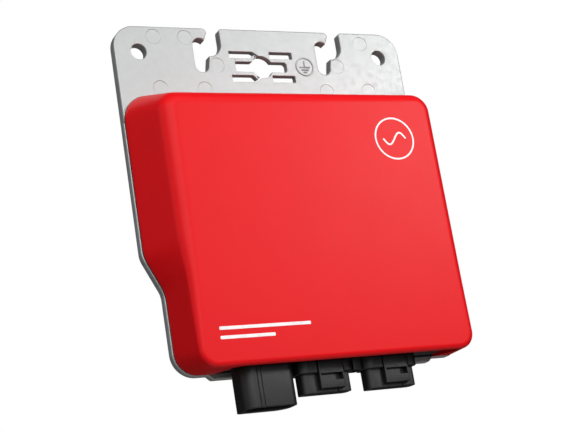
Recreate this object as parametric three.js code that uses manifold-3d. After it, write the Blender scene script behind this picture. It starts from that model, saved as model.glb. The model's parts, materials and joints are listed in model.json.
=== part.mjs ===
// Micro inverter: a cast mounting plate with two hanging hooks, a red drafted cover, and a panel of
// three downward connectors, with the power electronics inside. Millimetres, +Z up, +X to the right,
// the front facing -Y. The origin is the centre of the plate's flat back face.
import * as THREE from 'three';
import { mergeVertices } from 'three/addons/utils/BufferGeometryUtils.js';
import Module from 'manifold-3d';

const wasm = await Module();
wasm.setup();

// ---------------------------------------------------------------- driving dimensions
const PLATE_WIDTH = 188;
const PLATE_HEIGHT = 208.7;
const PLATE_THICKNESS = 6.5;
const DEPTH = 44.2; // back of the plate to front of the cover
const TAB_DROP = 2.4; // how far the plate's lower tab hangs below its corners
const STEP_INSET = 9.7; // the left side steps in by this much
const LOW_RIGHT_CORNER = 5; // the tighter corner, shared by the plate and the cover's foot
const STEP_START = 138.3; // below the plate's top edge
const STEP_END = 159.4;
const GAP = 0.3; // clearance between neighbouring pieces

const COVER_INSET = 0.3; // cover's foot inside the plate's edge
const COVER_TOP = 43.3; // cover's foot below the plate's top edge
const COVER_BOTTOM = PLATE_HEIGHT - TAB_DROP - 0.2;
const TOP_SETBACK = 16; // rounding of the foot's upper corners
const COVER_WALL = 2.2;
const FACE_HALF_WIDTH = 84.4; // the front face, as if its edges were sharp
const FACE_TOP = 55.9;
const FACE_BOTTOM = 209.4;

const HOOK_PITCH = 80.7;
const HOOK_CENTRE = -0.25; // middle of the two hooks
const CORNER_HOLE_X = 79.3;
const CORNER_HOLE_DEPTH = 16.1;
const CORNER_HOLE_RADIUS = 4.8;

const KEYHOLE_X = -2.1;
const KEYHOLE_DEPTH = 24;
const KEYHOLE_RADIUS = 7;
const ARM_HALF_HEIGHT = 3.2;
const ARM_LEFT = -19.6;
const ARM_RIGHT = 14.4;
const SLIT_NEAR = 5.4; // slit's edges from the keyhole's centre line
const SLIT_FAR = 9.7;
const SLIT_LENGTH = 15.2;
const SLIT_RIGHT_START = 3.7;
const TONGUE_ROOT = -19.2;
const WEB_THICKNESS = 4.2; // the plate round the slits
const WEB = [-26, 22, 11.5, 36.5]; // left, right, upper and lower edges of the thin web

const PANEL_LEFT = -62.5;
const PANEL_RIGHT = 77.5;
const PANEL_FRONT = 40.2; // distance in front of the plate's back
const PANEL_TOP = 199.5;
const PANEL_BOTTOM = 205;
const PANEL_CORNER = 5.7;

const TOP = PLATE_HEIGHT / 2;
const HALF_WIDTH = PLATE_WIDTH / 2;
const ARC_STEPS = 6; // segments in a rounded corner
const ROUND_STEPS = 16; // segments round a small cylinder

// ---------------------------------------------------------------- finishes
function finish(color, roughness, metalness) {
  return new THREE.MeshStandardMaterial({ color, roughness, metalness });
}

const CAST_GREY = finish('#cfd0d2', 0.5, 0.5);
const RED = finish('#d71f26', 0.35, 0.0);
const BLACK = finish('#26272a', 0.6, 0.0);
const DARK_RUBBER = finish('#141414', 0.85, 0.0);
const BRASS = finish('#c9a24a', 0.3, 1.0);
const STEEL = finish('#a9acb0', 0.35, 1.0);
const BOARD_GREEN = finish('#1f5a33', 0.5, 0.0);
const PAD_GREY = finish('#8a8f98', 0.9, 0.0);
const FERRITE = finish('#3a3b3d', 0.7, 0.2);
const COPPER = finish('#b5652e', 0.35, 0.9);
const CAN_BLUE = finish('#20304f', 0.35, 0.2);
const FILM_YELLOW = finish('#d8a62a', 0.5, 0.0);

// ---------------------------------------------------------------- shape helpers
// A closed manifold solid from a three.js geometry, without its doubled corners and empty triangles.
function solid(geometry) {
  const bare = geometry.clone();
  bare.deleteAttribute('normal');
  bare.deleteAttribute('uv');
  const merged = mergeVertices(bare, 1e-4);
  const index = merged.index.array;
  const kept = [];
  for (let i = 0; i < index.length; i += 3) {
    const [a, b, c] = [index[i], index[i + 1], index[i + 2]];
    if (a !== b && b !== c && c !== a) kept.push(a, b, c);
  }
  const vertProperties = new Float32Array(merged.attributes.position.array);
  const triVerts = new Uint32Array(kept);
  return new wasm.Manifold(new wasm.Mesh({ numProp: 3, vertProperties, triVerts }));
}

// Height of a point that lies `depth` below the plate's top edge.
const heightAt = (depth) => TOP - depth;

// An outline from corners [across, along, setback]: each corner is an arc that starts and ends
// `setback` away from it. A corner on a straight line gives evenly spaced points.
function roundedOutline(corners, steps = ARC_STEPS) {
  const at = (i) => new THREE.Vector2(...corners[(i + corners.length) % corners.length].slice(0, 2));
  const points = [];
  for (let i = 0; i < corners.length; i += 1) {
    const corner = at(i);
    const setback = corners[i][2];
    if (setback === 0) {
      points.push(corner);
      continue;
    }
    const before = at(i - 1).sub(corner).normalize();
    const after = at(i + 1).sub(corner).normalize();
    const weight = Math.sin(before.angleTo(after) / 2);
    for (let k = 0; k <= steps; k += 1) {
      const t = k / steps;
      const [a, b, c] = [(1 - t) ** 2, 2 * t * (1 - t) * weight, t ** 2];
      const point = corner.clone().multiplyScalar(a + b + c);
      point.addScaledVector(before, a * setback).addScaledVector(after, c * setback);
      points.push(point.divideScalar(a + b + c));
    }
  }
  return points;
}

// The same outline given by depths below the plate's top edge instead of heights.
const hangingOutline = (corners, steps) => roundedOutline(
  corners.map(([x, depth, setback]) => [x, heightAt(depth), setback]),
  steps,
);

function rectangle(x0, x1, y0, y1, setback = 0) {
  return [[x0, y0, setback], [x1, y0, setback], [x1, y1, setback], [x0, y1, setback]];
}

function extruded(points, depth) {
  return new THREE.ExtrudeGeometry(new THREE.Shape(points), { depth, bevelEnabled: false });
}

// A slab whose outline lies in the XZ plane, from `back` to `front` millimetres before the plate's back.
function slab(points, back, front) {
  const geometry = extruded(points, front - back);
  geometry.rotateX(Math.PI / 2);
  geometry.translate(0, -back, 0);
  return solid(geometry);
}

// A column whose outline lies in the XY plane, hanging from depth `upper` to depth `lower`.
function column(points, upper, lower) {
  const geometry = extruded(points, lower - upper);
  geometry.translate(0, 0, heightAt(lower));
  return solid(geometry);
}

// A block given by its limits: across, in front of the plate's back, and below the plate's top edge.
const block = (x0, x1, back, front, upper, lower) => (
  slab(hangingOutline(rectangle(x0, x1, upper, lower)), back, front)
);

// A turned piece about a line along Y: profile points are [radius, distance before the plate's back].
function turnedForward(profile, x, depth, steps = ROUND_STEPS) {
  const geometry = new THREE.LatheGeometry(profile.map(([r, f]) => new THREE.Vector2(r, f)), steps);
  geometry.rotateX(Math.PI);
  geometry.translate(x, 0, heightAt(depth));
  return oriented(geometry);
}

// A turned piece about a vertical line: profile points are [radius, depth below the plate's top edge].
function turnedUpright(profile, x, front, steps = ROUND_STEPS) {
  const points = profile.map(([r, depth]) => new THREE.Vector2(r, heightAt(depth)));
  const geometry = new THREE.LatheGeometry(points, steps);
  geometry.rotateX(Math.PI / 2);
  geometry.translate(x, -front, 0);
  return oriented(geometry);
}

// The profile of a plain rod between two places along its axis.
const rod = (radius, from, to) => [[0, from], [radius, from], [radius, to], [0, to]];

// The solid with its faces turned outwards, whichever way its profile was drawn.
function oriented(geometry) {
  const position = geometry.attributes.position;
  const index = geometry.index.array;
  const corner = [new THREE.Vector3(), new THREE.Vector3(), new THREE.Vector3()];
  let volume = 0;
  for (let i = 0; i < index.length; i += 3) {
    corner.forEach((v, k) => v.fromBufferAttribute(position, index[i + k]));
    volume += corner[0].dot(corner[1].clone().cross(corner[2])) / 6;
  }
  if (volume < 0) {
    for (let i = 0; i < index.length; i += 3) [index[i], index[i + 1]] = [index[i + 1], index[i]];
  }
  return solid(geometry);
}

// A solid through a row of matching outlines in the XZ plane, each [points, distance before the back].
function loft(rings) {
  const count = rings[0][0].length;
  const vertices = [];
  rings.forEach(([points, front]) => points.forEach((p) => vertices.push(p.x, -front, p.y)));
  const index = [];
  for (let ring = 0; ring < rings.length - 1; ring += 1) {
    for (let k = 0; k < count; k += 1) {
      const next = (k + 1) % count;
      const [a, b] = [ring * count + k, ring * count + next];
      const [c, d] = [a + count, b + count];
      index.push(a, c, b, b, c, d);
    }
  }
  const last = (rings.length - 1) * count;
  const faces = (points) => THREE.ShapeUtils.triangulateShape(points, []);
  faces(rings[0][0]).forEach(([a, b, c]) => index.push(a, b, c));
  faces(rings[rings.length - 1][0]).forEach(([a, b, c]) => index.push(last + a, last + c, last + b));
  const geometry = new THREE.BufferGeometry();
  geometry.setAttribute('position', new THREE.Float32BufferAttribute(vertices, 3));
  geometry.setIndex(index);
  return oriented(geometry);
}

const inverter = new THREE.Group();

function addPiece(name, body, material) {
  const { vertProperties, triVerts } = body.getMesh();
  const geometry = new THREE.BufferGeometry();
  geometry.setAttribute('position', new THREE.Float32BufferAttribute(vertProperties, 3));
  geometry.setIndex(new THREE.Uint32BufferAttribute(triVerts, 1));
  geometry.computeVertexNormals();
  const mesh = new THREE.Mesh(geometry, material);
  mesh.name = name;
  inverter.add(mesh);
}

const mix = THREE.MathUtils.lerp;

// ---------------------------------------------------------------- cover outline
// The cover's outer outline at a share t of the way from its foot (0) to its face (1), drawn in by
// `inset` all round. The left side steps in low down at the foot and is straight at the face.
function coverOutline(t, inset = 0) {
  const foot = HALF_WIDTH - COVER_INSET;
  const right = mix(foot, FACE_HALF_WIDTH, t) - inset;
  const leftLow = mix(foot - STEP_INSET, FACE_HALF_WIDTH - 0.2, t) - inset;
  const leftHigh = mix(foot, FACE_HALF_WIDTH, t) - inset;
  const top = mix(COVER_TOP, FACE_TOP, t) + inset;
  const bottom = mix(COVER_BOTTOM, FACE_BOTTOM, t) - inset;
  const topSetback = mix(TOP_SETBACK, 10, t) - inset * 0.8;
  const lowSetback = (atFoot) => Math.max(mix(atFoot, 10, t) - inset * 0.8, 0.8);
  const [lowLeft, lowRight] = [13, LOW_RIGHT_CORNER].map(lowSetback);
  const stepSetback = 5;
  return hangingOutline([
    [-leftLow, bottom, lowLeft],
    [right, bottom, lowRight],
    [right, top, topSetback],
    [-leftHigh, top, topSetback],
    [-leftHigh, STEP_START, stepSetback],
    [-leftLow, STEP_END, stepSetback],
  ]);
}

const FOOT = PLATE_THICKNESS + GAP; // the cover's foot, just before the plate's face
const shareAt = (front) => (front - PLATE_THICKNESS) / (DEPTH - PLATE_THICKNESS);

// ---------------------------------------------------------------- mounting plate
// The opening of one hanging hook at x: a mouth at the plate's top edge, a round seat to the left
// under the hook's tip, and a narrower round pocket below it.
function hookCut(x) {
  const tip = x + 5.6;
  const wall = x + 13.8;
  const above = heightAt(-1);
  const [seatX, seatDepth, seatRadius] = [x + 0.1, 11.15, 4.55];
  const [pocketX, pocketDepth, pocketRadius] = [x - 0.2, 23.6, 4.3];
  const [lapX, lapDepth, lapRadius] = [x + 5.3, 9.2, 8.5];
  const [tipRadius, wallRadius, tipUnderside] = [2.8, 1.7, 7.9];
  const seatStart = Math.asin((seatDepth - tipUnderside) / seatRadius);
  const shape = new THREE.Shape();
  shape.moveTo(tip - tipRadius, above);
  shape.lineTo(tip - tipRadius, heightAt(0));
  shape.absarc(tip - tipRadius, heightAt(tipRadius), tipRadius, Math.PI / 2, 0, true);
  shape.lineTo(tip, heightAt(tipUnderside));
  shape.absarc(seatX, heightAt(seatDepth), seatRadius, seatStart, Math.PI, false);
  shape.absarc(pocketX, heightAt(pocketDepth), pocketRadius, Math.PI, 2 * Math.PI, false);
  shape.lineTo(pocketX + pocketRadius, heightAt(lapDepth + lapRadius));
  shape.absarc(lapX, heightAt(lapDepth), lapRadius, -Math.PI / 2, 0, false);
  shape.absarc(wall + wallRadius, heightAt(wallRadius), wallRadius, Math.PI, Math.PI / 2, true);
  shape.lineTo(wall + wallRadius, above);
  return shape.extractPoints(ARC_STEPS).shape;
}

// One slit with the gap that frees a tongue's tip. side is -1 above the keyhole and 1 below it.
function tongueCut(side) {
  const at = (x, offset) => [x, KEYHOLE_DEPTH + side * offset, 0];
  const slitEnd = TONGUE_ROOT - 3.5;
  const corners = [
    at(slitEnd, SLIT_FAR), at(-7.6, SLIT_FAR), at(KEYHOLE_X, KEYHOLE_RADIUS - 0.6), at(KEYHOLE_X, 2),
    at(TONGUE_ROOT - GAP, 2), at(TONGUE_ROOT - GAP, SLIT_NEAR), at(slitEnd, SLIT_NEAR),
  ];
  return hangingOutline(side < 0 ? corners : corners.reverse());
}

function tongueOutline(side) {
  const at = (x, offset) => [x, KEYHOLE_DEPTH + side * offset, 0];
  const corners = [
    at(TONGUE_ROOT, SLIT_NEAR), at(-8.8, SLIT_NEAR), at(-6.5, 7.9), at(-4.4, 6.6),
    at(-6.9, 5.1), at(-8.3, ARM_HALF_HEIGHT), at(TONGUE_ROOT, ARM_HALF_HEIGHT),
  ];
  return hangingOutline(side < 0 ? corners : corners.reverse());
}

const SCREW_PLACES = [[-81.5, 55.5], [81.5, 55.5], [-75.3, 197.4], [84.6, 196.5]]; // across, depth
const SCREW = { headBack: 0.7, headFront: 3.7, headRadius: 4, shankRadius: 2, tip: 20 };
const BOSS = { radius: 6.4, front: 26, boreRadius: 2.3, boreFront: 21 };

// A ring under the cover's foot, between two insets from the foot's outline.
function gasketRing(inner, outer, back, front) {
  const outside = loft([[coverOutline(0, outer), back], [coverOutline(0, outer), front]]);
  const inside = loft([[coverOutline(0, inner), back - 1], [coverOutline(0, inner), front + 1]]);
  return outside.subtract(inside);
}

function mountingPlate() {
  const corner = 13.5;
  const low = PLATE_HEIGHT - TAB_DROP;
  let plate = slab(hangingOutline([
    [-HALF_WIDTH + STEP_INSET, low, 13.5],
    [PANEL_LEFT - 2.5, low, 0.8], [PANEL_LEFT, PLATE_HEIGHT, 0.8],
    [PANEL_RIGHT - 1.5, PLATE_HEIGHT, 0.8], [PANEL_RIGHT + 1, low, 0.8],
    [HALF_WIDTH, low, LOW_RIGHT_CORNER], [HALF_WIDTH, 0, corner], [-HALF_WIDTH, 0, corner],
    [-HALF_WIDTH, STEP_START, 3], [-HALF_WIDTH + STEP_INSET, STEP_END, 3],
  ]), 0, PLATE_THICKNESS);
  const cut = (points, back = -1, front = PLATE_THICKNESS + 1) => {
    plate = plate.subtract(slab(points, back, front));
  };
  [-0.5, 0.5].forEach((share) => cut(hookCut(HOOK_CENTRE + share * HOOK_PITCH)));
  const round = (x, depth, radius, steps = 24) => {
    const path = new THREE.Shape().absarc(x, heightAt(depth), radius, 0, 2 * Math.PI, false);
    return path.getSpacedPoints(steps).slice(0, steps);
  };
  [-1, 1].forEach((side) => cut(round(side * CORNER_HOLE_X, CORNER_HOLE_DEPTH, CORNER_HOLE_RADIUS)));
  cut(hangingOutline(rectangle(...WEB, 3)), -1, PLATE_THICKNESS - WEB_THICKNESS);
  cut(round(KEYHOLE_X, KEYHOLE_DEPTH, KEYHOLE_RADIUS, 32));
  const [armUpper, armLower] = [KEYHOLE_DEPTH - ARM_HALF_HEIGHT, KEYHOLE_DEPTH + ARM_HALF_HEIGHT];
  cut(hangingOutline(rectangle(ARM_LEFT, ARM_RIGHT, armUpper, armLower, 1), 2));
  [-1, 1].forEach((side) => {
    cut(tongueCut(side));
    const [near, far] = [KEYHOLE_DEPTH + side * SLIT_NEAR, KEYHOLE_DEPTH + side * SLIT_FAR];
    const [upper, lower] = [Math.min(near, far), Math.max(near, far)];
    const [left, right] = [SLIT_RIGHT_START, SLIT_RIGHT_START + SLIT_LENGTH];
    cut(hangingOutline(rectangle(left, right, upper, lower, 0.6), 2));
  });
  // the seat of the gasket: a groove along the foot's top edge, open to the side below its upper corners
  const seat = [PLATE_THICKNESS - 1.4, PLATE_THICKNESS + 1];
  const open = block(-HALF_WIDTH - 1, HALF_WIDTH + 1, ...seat, COVER_TOP + TOP_SETBACK, PLATE_HEIGHT + 1);
  const within = loft([[coverOutline(0, 2), seat[0] - 1], [coverOutline(0, 2), seat[1] + 1]]);
  plate = plate.subtract(gasketRing(2, -0.1, ...seat)).subtract(open.subtract(within));
  SCREW_PLACES.forEach(([x, depth]) => {
    cut(round(x, depth, SCREW.shankRadius + 0.5, ROUND_STEPS));
    cut(round(x, depth, SCREW.headRadius + 0.7, ROUND_STEPS), -1, SCREW.headFront + GAP);
  });
  return plate;
}

addPiece('mounting_plate', mountingPlate(), CAST_GREY);
[['upper_snap_tongue', -1], ['lower_snap_tongue', 1]].forEach(([name, side]) => {
  addPiece(name, slab(tongueOutline(side), PLATE_THICKNESS - WEB_THICKNESS, PLATE_THICKNESS), CAST_GREY);
});
addPiece('cover_gasket', gasketRing(1.7, 0.3, PLATE_THICKNESS - 1.1, PLATE_THICKNESS), DARK_RUBBER);

// ---------------------------------------------------------------- front cover
function frontCover() {
  const edgeRadius = 4.5;
  const rounding = [0, 0.25, 0.5, 0.75, 1].map((share) => {
    const angle = share * Math.PI / 2;
    const front = DEPTH - edgeRadius * (1 - Math.sin(angle));
    return [coverOutline(shareAt(front), edgeRadius * (1 - Math.cos(angle))), front];
  });
  const wall = [FOOT, mix(FOOT, DEPTH, 0.45)].map((front) => [coverOutline(shareAt(front)), front]);
  const outside = loft([...wall, ...rounding]);
  const hollowFront = DEPTH - COVER_WALL - GAP;
  const inside = loft([FOOT - 1, hollowFront - 3, hollowFront].map((front, i) => (
    [coverOutline(shareAt(front), COVER_WALL + (i === 2 ? 3 : 0)), front]
  )));
  let cover = outside.subtract(inside);
  SCREW_PLACES.forEach(([x, depth]) => {
    cover = cover.add(turnedForward(rod(BOSS.radius, FOOT, BOSS.front), x, depth).intersect(outside));
    cover = cover.subtract(turnedForward(rod(BOSS.boreRadius, FOOT - 1, BOSS.boreFront), x, depth));
  });
  const opening = roundedOutline([
    [PANEL_LEFT - GAP, -PANEL_FRONT - GAP, PANEL_CORNER + GAP],
    [PANEL_RIGHT + GAP, -PANEL_FRONT - GAP, PANEL_CORNER + GAP],
    [PANEL_RIGHT + GAP, -FOOT + 1, 0], [PANEL_LEFT - GAP, -FOOT + 1, 0],
  ]);
  return cover.subtract(column(opening, PANEL_TOP - 2, PLATE_HEIGHT + 4));
}

addPiece('front_cover', frontCover(), RED);

// A screw seen from its axis: a flat head, then a thinner shank that ends at tipFront.
const screwProfile = (headFront, headBack, headRadius, tipFront, shankRadius) => [
  [0, headBack], [headRadius, headBack], [headRadius, headFront], [shankRadius, headFront],
  [shankRadius, tipFront], [0, tipFront],
];

SCREW_PLACES.forEach(([x, depth], i) => {
  const { headFront, headBack, headRadius, tip, shankRadius } = SCREW;
  const profile = screwProfile(headFront, headBack, headRadius, tip, shankRadius);
  addPiece(`cover_screw_${i + 1}`, turnedForward(profile, x, depth), STEEL);
});

// ---------------------------------------------------------------- connectors
const DC = {
  front: 26.5, halfWidth: 14.95, halfDepth: 9, wall: 2, bottom: 230.9,
  pins: [-6.5, 6.5], pinRadius: 1.5, pinTip: 222, corners: [7, 4, 8, 2.5],
};
const AC = {
  front: 26.5, halfWidth: 15.1, halfDepth: 4.2, wall: 1.5, bottom: 225.4,
  pins: [-9, 0, 9], pinRadius: 1, pinTip: 220.5, corners: [4, 2, 3.6, 1.5],
};
const CONNECTORS = [
  { ...DC, x: -43.05, name: 'dc', suffix: '' },
  { ...AC, x: -7.3, name: 'ac', suffix: '_left' },
  { ...AC, x: 33.6, name: 'ac', suffix: '_right' },
];
const GROOVES = [-7.7, -5.4]; // upright grooves in the dc shroud's front, from its middle
const COLLAR_BOTTOM = 214.5;
const COLLAR_GROWTH = 2.4;
// The frame a plug latches on: across from the shroud's middle, its front, and its bar below a window.
const LATCH = {
  left: -5.1, right: 10.2, leg: 1, proud: 2.8, windowTop: 215.1, barTop: 219.1, barBottom: 223.4,
  pocket: 5, pocketDepth: 1.1, floor: 1.8,
};
const LEDGE = { back: 22, front: 31 }; // of the panel, between the two ac collars
const CARRIER_FOOT = 210;
const NECK_INSET = 1.2; // the carrier's neck inside the shroud's bore
const PIN_STEPS = 12;

// The connector's plan outline, grown by `grow`: the two front corners, then the two at the back.
function socketOutline(c, grow) {
  const [x0, x1] = [c.x - c.halfWidth - grow, c.x + c.halfWidth + grow];
  const [y0, y1] = [-c.front - c.halfDepth - grow, -c.front + c.halfDepth + grow];
  const [r0, r1, r2, r3] = c.corners.map((r) => Math.max(r + grow, 0.5));
  return roundedOutline([[x0, y0, r0], [x1, y0, r1], [x1, y1, r2], [x0, y1, r3]], 4);
}

const UNDER_PANEL = PANEL_BOTTOM + GAP;

const socketBore = (c) => column(socketOutline(c, -c.wall), UNDER_PANEL - 1, c.bottom + 1);

function dcShroud(c) {
  let shroud = column(socketOutline(c, 0), UNDER_PANEL, c.bottom).subtract(socketBore(c));
  GROOVES.forEach((x) => {
    const floor = c.front + c.halfDepth - 0.5;
    const groove = block(c.x + x, c.x + x + 0.7, floor, floor + 1, UNDER_PANEL - 1, c.bottom + 1);
    shroud = shroud.subtract(groove);
  });
  return shroud;
}

// The ac shroud has a collar at its root, and a frame on its front with a bar that a plug latches on.
function acShroud(c) {
  const collar = column(socketOutline(c, COLLAR_GROWTH), UNDER_PANEL, COLLAR_BOTTOM);
  const face = c.front + c.halfDepth;
  const [left, right] = [c.x + LATCH.left, c.x + LATCH.right];
  const { leg, proud, floor, windowTop, barTop, barBottom, pocket, pocketDepth } = LATCH;
  const [pocketLeft, pocketRight] = [c.x + pocket, right - leg];
  const frame = block(left, right, face - 0.5, face + proud, UNDER_PANEL, barBottom)
    .subtract(block(left + leg, right - leg, face + floor, face + proud + 1, windowTop, barTop));
  const [pocketBack, pocketFront] = [face - pocketDepth, face + proud + 1];
  const recess = block(pocketLeft, pocketRight, pocketBack, pocketFront, windowTop, barTop);
  const body = column(socketOutline(c, 0), COLLAR_BOTTOM - 1, c.bottom);
  return collar.add(body).add(frame).subtract(socketBore(c)).subtract(recess);
}

// The insulator that holds the pins: a disc inside the shroud, and a neck up through the panel.
function pinCarrier(c) {
  const neck = c.wall + NECK_INSET;
  let carrier = column(socketOutline(c, -c.wall - GAP), UNDER_PANEL, CARRIER_FOOT);
  carrier = carrier.add(column(socketOutline(c, -neck), PANEL_TOP - 3, CARRIER_FOOT - 1));
  c.pins.forEach((x) => {
    const bore = rod(c.pinRadius + GAP, PANEL_TOP - 5, CARRIER_FOOT + 1);
    carrier = carrier.subtract(turnedUpright(bore, c.x + x, c.front, PIN_STEPS));
  });
  return carrier;
}

function contactPin(c, x) {
  const [root, tip, radius] = [PANEL_TOP - 4.5, c.pinTip, c.pinRadius];
  const profile = [[0, root], [radius, root], [radius, tip - radius], [radius * 0.5, tip], [0, tip]];
  return turnedUpright(profile, c.x + x, c.front, PIN_STEPS);
}

function faceSeal(c) {
  const [upper, lower] = [CARRIER_FOOT + GAP, CARRIER_FOOT + 1.8];
  const ring = column(socketOutline(c, -c.wall - GAP), upper, lower);
  return ring.subtract(column(socketOutline(c, -c.wall - GAP - 0.8), upper - 1, lower + 1));
}

function connectorPanel() {
  let panel = column(roundedOutline([
    [PANEL_LEFT, -PANEL_FRONT, PANEL_CORNER], [PANEL_RIGHT, -PANEL_FRONT, PANEL_CORNER],
    [PANEL_RIGHT, -FOOT - GAP, 0], [PANEL_LEFT, -FOOT - GAP, 0],
  ]), PANEL_TOP, PANEL_BOTTOM);
  CONNECTORS.forEach((c) => {
    const hole = socketOutline(c, GAP - c.wall - NECK_INSET);
    panel = panel.subtract(column(hole, PANEL_TOP - 1, PANEL_BOTTOM + 1));
  });
  const [, left, right] = CONNECTORS;
  const collarReach = left.halfWidth + COLLAR_GROWTH + GAP;
  const [x0, x1] = [left.x + collarReach, right.x - collarReach];
  return panel.add(block(x0, x1, LEDGE.back, LEDGE.front, PANEL_BOTTOM - 1, COLLAR_BOTTOM));
}

addPiece('connector_panel', connectorPanel(), BLACK);
CONNECTORS.forEach((c) => {
  const shroud = c.name === 'dc' ? dcShroud(c) : acShroud(c);
  addPiece(`${c.name}_connector_shroud${c.suffix}`, shroud, BLACK);
  addPiece(`${c.name}_pin_carrier${c.suffix}`, pinCarrier(c), BLACK);
  addPiece(`${c.name}_face_seal${c.suffix}`, faceSeal(c), DARK_RUBBER);
  c.pins.forEach((x, i) => addPiece(`${c.name}_pin${c.suffix}_${i + 1}`, contactPin(c, x), BRASS));
});

// ---------------------------------------------------------------- electronics
const BOARD_BACK = 12;
const BOARD_FRONT = 13.6;
const ON_BOARD = BOARD_FRONT + GAP;
const BOARD_EDGES = [-76, 82, 62, 188]; // left, right, upper, lower
const BOARD_HOLES = [-70, 76].flatMap((x) => [68, 182].map((depth) => [x, depth]));
const BOARD_BORE = 2.1;
const POST_RADIUS = 4;

function circuitBoard() {
  let board = slab(hangingOutline(rectangle(...BOARD_EDGES, 3), 3), BOARD_BACK, BOARD_FRONT);
  BOARD_HOLES.forEach(([x, depth]) => {
    board = board.subtract(turnedForward(rod(BOARD_BORE, BOARD_BACK - 1, BOARD_FRONT + 1), x, depth));
  });
  return board;
}

addPiece('main_circuit_board', circuitBoard(), BOARD_GREEN);
BOARD_HOLES.forEach(([x, depth], i) => {
  const [back, front] = [FOOT, BOARD_BACK - GAP];
  const post = [
    [BOARD_BORE, back], [POST_RADIUS, back], [POST_RADIUS, front], [BOARD_BORE, front], [BOARD_BORE, back],
  ];
  addPiece(`standoff_${i + 1}`, turnedForward(post, x, depth, 6), BRASS);
  const screw = screwProfile(ON_BOARD, ON_BOARD + 2, 3.2, FOOT + 0.5, 1.5);
  addPiece(`board_screw_${i + 1}`, turnedForward(screw, x, depth), STEEL);
});

const TRANSISTOR_X = [-48, -28, 30, 50];
addPiece('thermal_pad', block(-58, 60, FOOT, FOOT + 0.9, 92, 114), PAD_GREY);
TRANSISTOR_X.forEach((x, i) => {
  const body = block(x - 5, x + 5, FOOT + 1.2, BOARD_BACK - GAP, 98, 112);
  const leg = block(x - 1, x + 1, BOARD_BACK - 1.3, BOARD_BACK - GAP, 94, 98.5);
  addPiece(`transistor_${i + 1}`, body.add(leg), BLACK);
});

// The transformer's two E-shaped ferrite halves meet on its middle line, with the winding between legs.
const COIL = {
  x: 0, depth: 128, back: 20, front: 34, halfWidth: 21, legLength: 15, yoke: 6, legHalf: 6,
};

function ferriteHalf(side) {
  const at = (x, offset) => [COIL.x + x, COIL.depth + side * offset, 0];
  const [yoke, end] = [COIL.legLength, COIL.legLength + COIL.yoke];
  const joint = GAP / 2;
  const inner = COIL.halfWidth - 6;
  const corners = [
    at(-COIL.halfWidth, joint), at(-inner, joint), at(-inner, yoke), at(-COIL.legHalf, yoke),
    at(-COIL.legHalf, joint), at(COIL.legHalf, joint), at(COIL.legHalf, yoke), at(inner, yoke),
    at(inner, joint), at(COIL.halfWidth, joint), at(COIL.halfWidth, end), at(-COIL.halfWidth, end),
  ];
  return slab(hangingOutline(side < 0 ? corners.reverse() : corners), COIL.back, COIL.front);
}

function transformerWinding() {
  const [upper, lower] = [COIL.depth - COIL.legLength + 0.6, COIL.depth + COIL.legLength - 0.6];
  const ring = (grow, setback) => roundedOutline(rectangle(
    COIL.x - COIL.legHalf - grow, COIL.x + COIL.legHalf + grow,
    -COIL.front - grow * 0.7, -COIL.back + grow * 0.7, setback,
  ), 4);
  return column(ring(8, 4), upper, lower).subtract(column(ring(0.5, 0.5), upper - 1, lower + 1));
}

addPiece('transformer_core_upper', ferriteHalf(-1), FERRITE);
addPiece('transformer_core_lower', ferriteHalf(1), FERRITE);
addPiece('transformer_winding', transformerWinding(), COPPER);

const CAN = { places: [-64, -46, 38, 56], radius: 8, upper: 120, lower: 146, bead: 0.8 };
CAN.places.forEach((x, i) => {
  const { radius, upper, lower, bead } = CAN;
  const can = [
    [0, upper], [radius, upper], [radius, lower - 4], [radius - bead, lower - 3],
    [radius, lower - 2], [radius, lower], [0, lower],
  ];
  addPiece(`bulk_capacitor_${i + 1}`, turnedUpright(can, x, ON_BOARD + radius), CAN_BLUE);
});

const filmBox = hangingOutline(rectangle(-44, -12, 160, 174, 1.5), 2);
addPiece('film_capacitor', slab(filmBox, ON_BOARD, 34), FILM_YELLOW);

// A choke on a bobbin-shaped core, wound between its two flanges.
const CHOKE = { x: 8, depth: 168, back: ON_BOARD, front: 32, radius: 11, neck: 5, flange: 2.5, steps: 20 };
const [neckBack, neckFront] = [CHOKE.back + CHOKE.flange, CHOKE.front - CHOKE.flange];
addPiece('choke_core', turnedForward([
  [0, CHOKE.back], [CHOKE.radius, CHOKE.back], [CHOKE.radius, neckBack], [CHOKE.neck, neckBack],
  [CHOKE.neck, neckFront], [CHOKE.radius, neckFront], [CHOKE.radius, CHOKE.front], [0, CHOKE.front],
], CHOKE.x, CHOKE.depth, CHOKE.steps), FERRITE);
const [coilInner, coilOuter] = [CHOKE.neck + GAP, CHOKE.radius - 1];
const [coilBack, coilFront] = [neckBack + GAP, neckFront - GAP];
addPiece('choke_winding', turnedForward([
  [coilInner, coilBack], [coilOuter, coilBack], [coilOuter, coilFront], [coilInner, coilFront],
  [coilInner, coilBack],
], CHOKE.x, CHOKE.depth, CHOKE.steps), COPPER);

addPiece('relay', slab(hangingOutline(rectangle(34, 54, 162, 178, 1), 2), ON_BOARD, 29), BLACK);
const daughterBoard = block(-30, 30, ON_BOARD, ON_BOARD + 1.2, 72, 92);
addPiece('comms_module', daughterBoard.add(block(-20, 12, ON_BOARD + 1, ON_BOARD + 4.5, 75, 89)), STEEL);

export default inverter;
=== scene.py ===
import json
import math

import bpy
import bmesh
import numpy as np
from mathutils import Matrix, Vector
from mathutils.geometry import delaunay_2d_cdt


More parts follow.
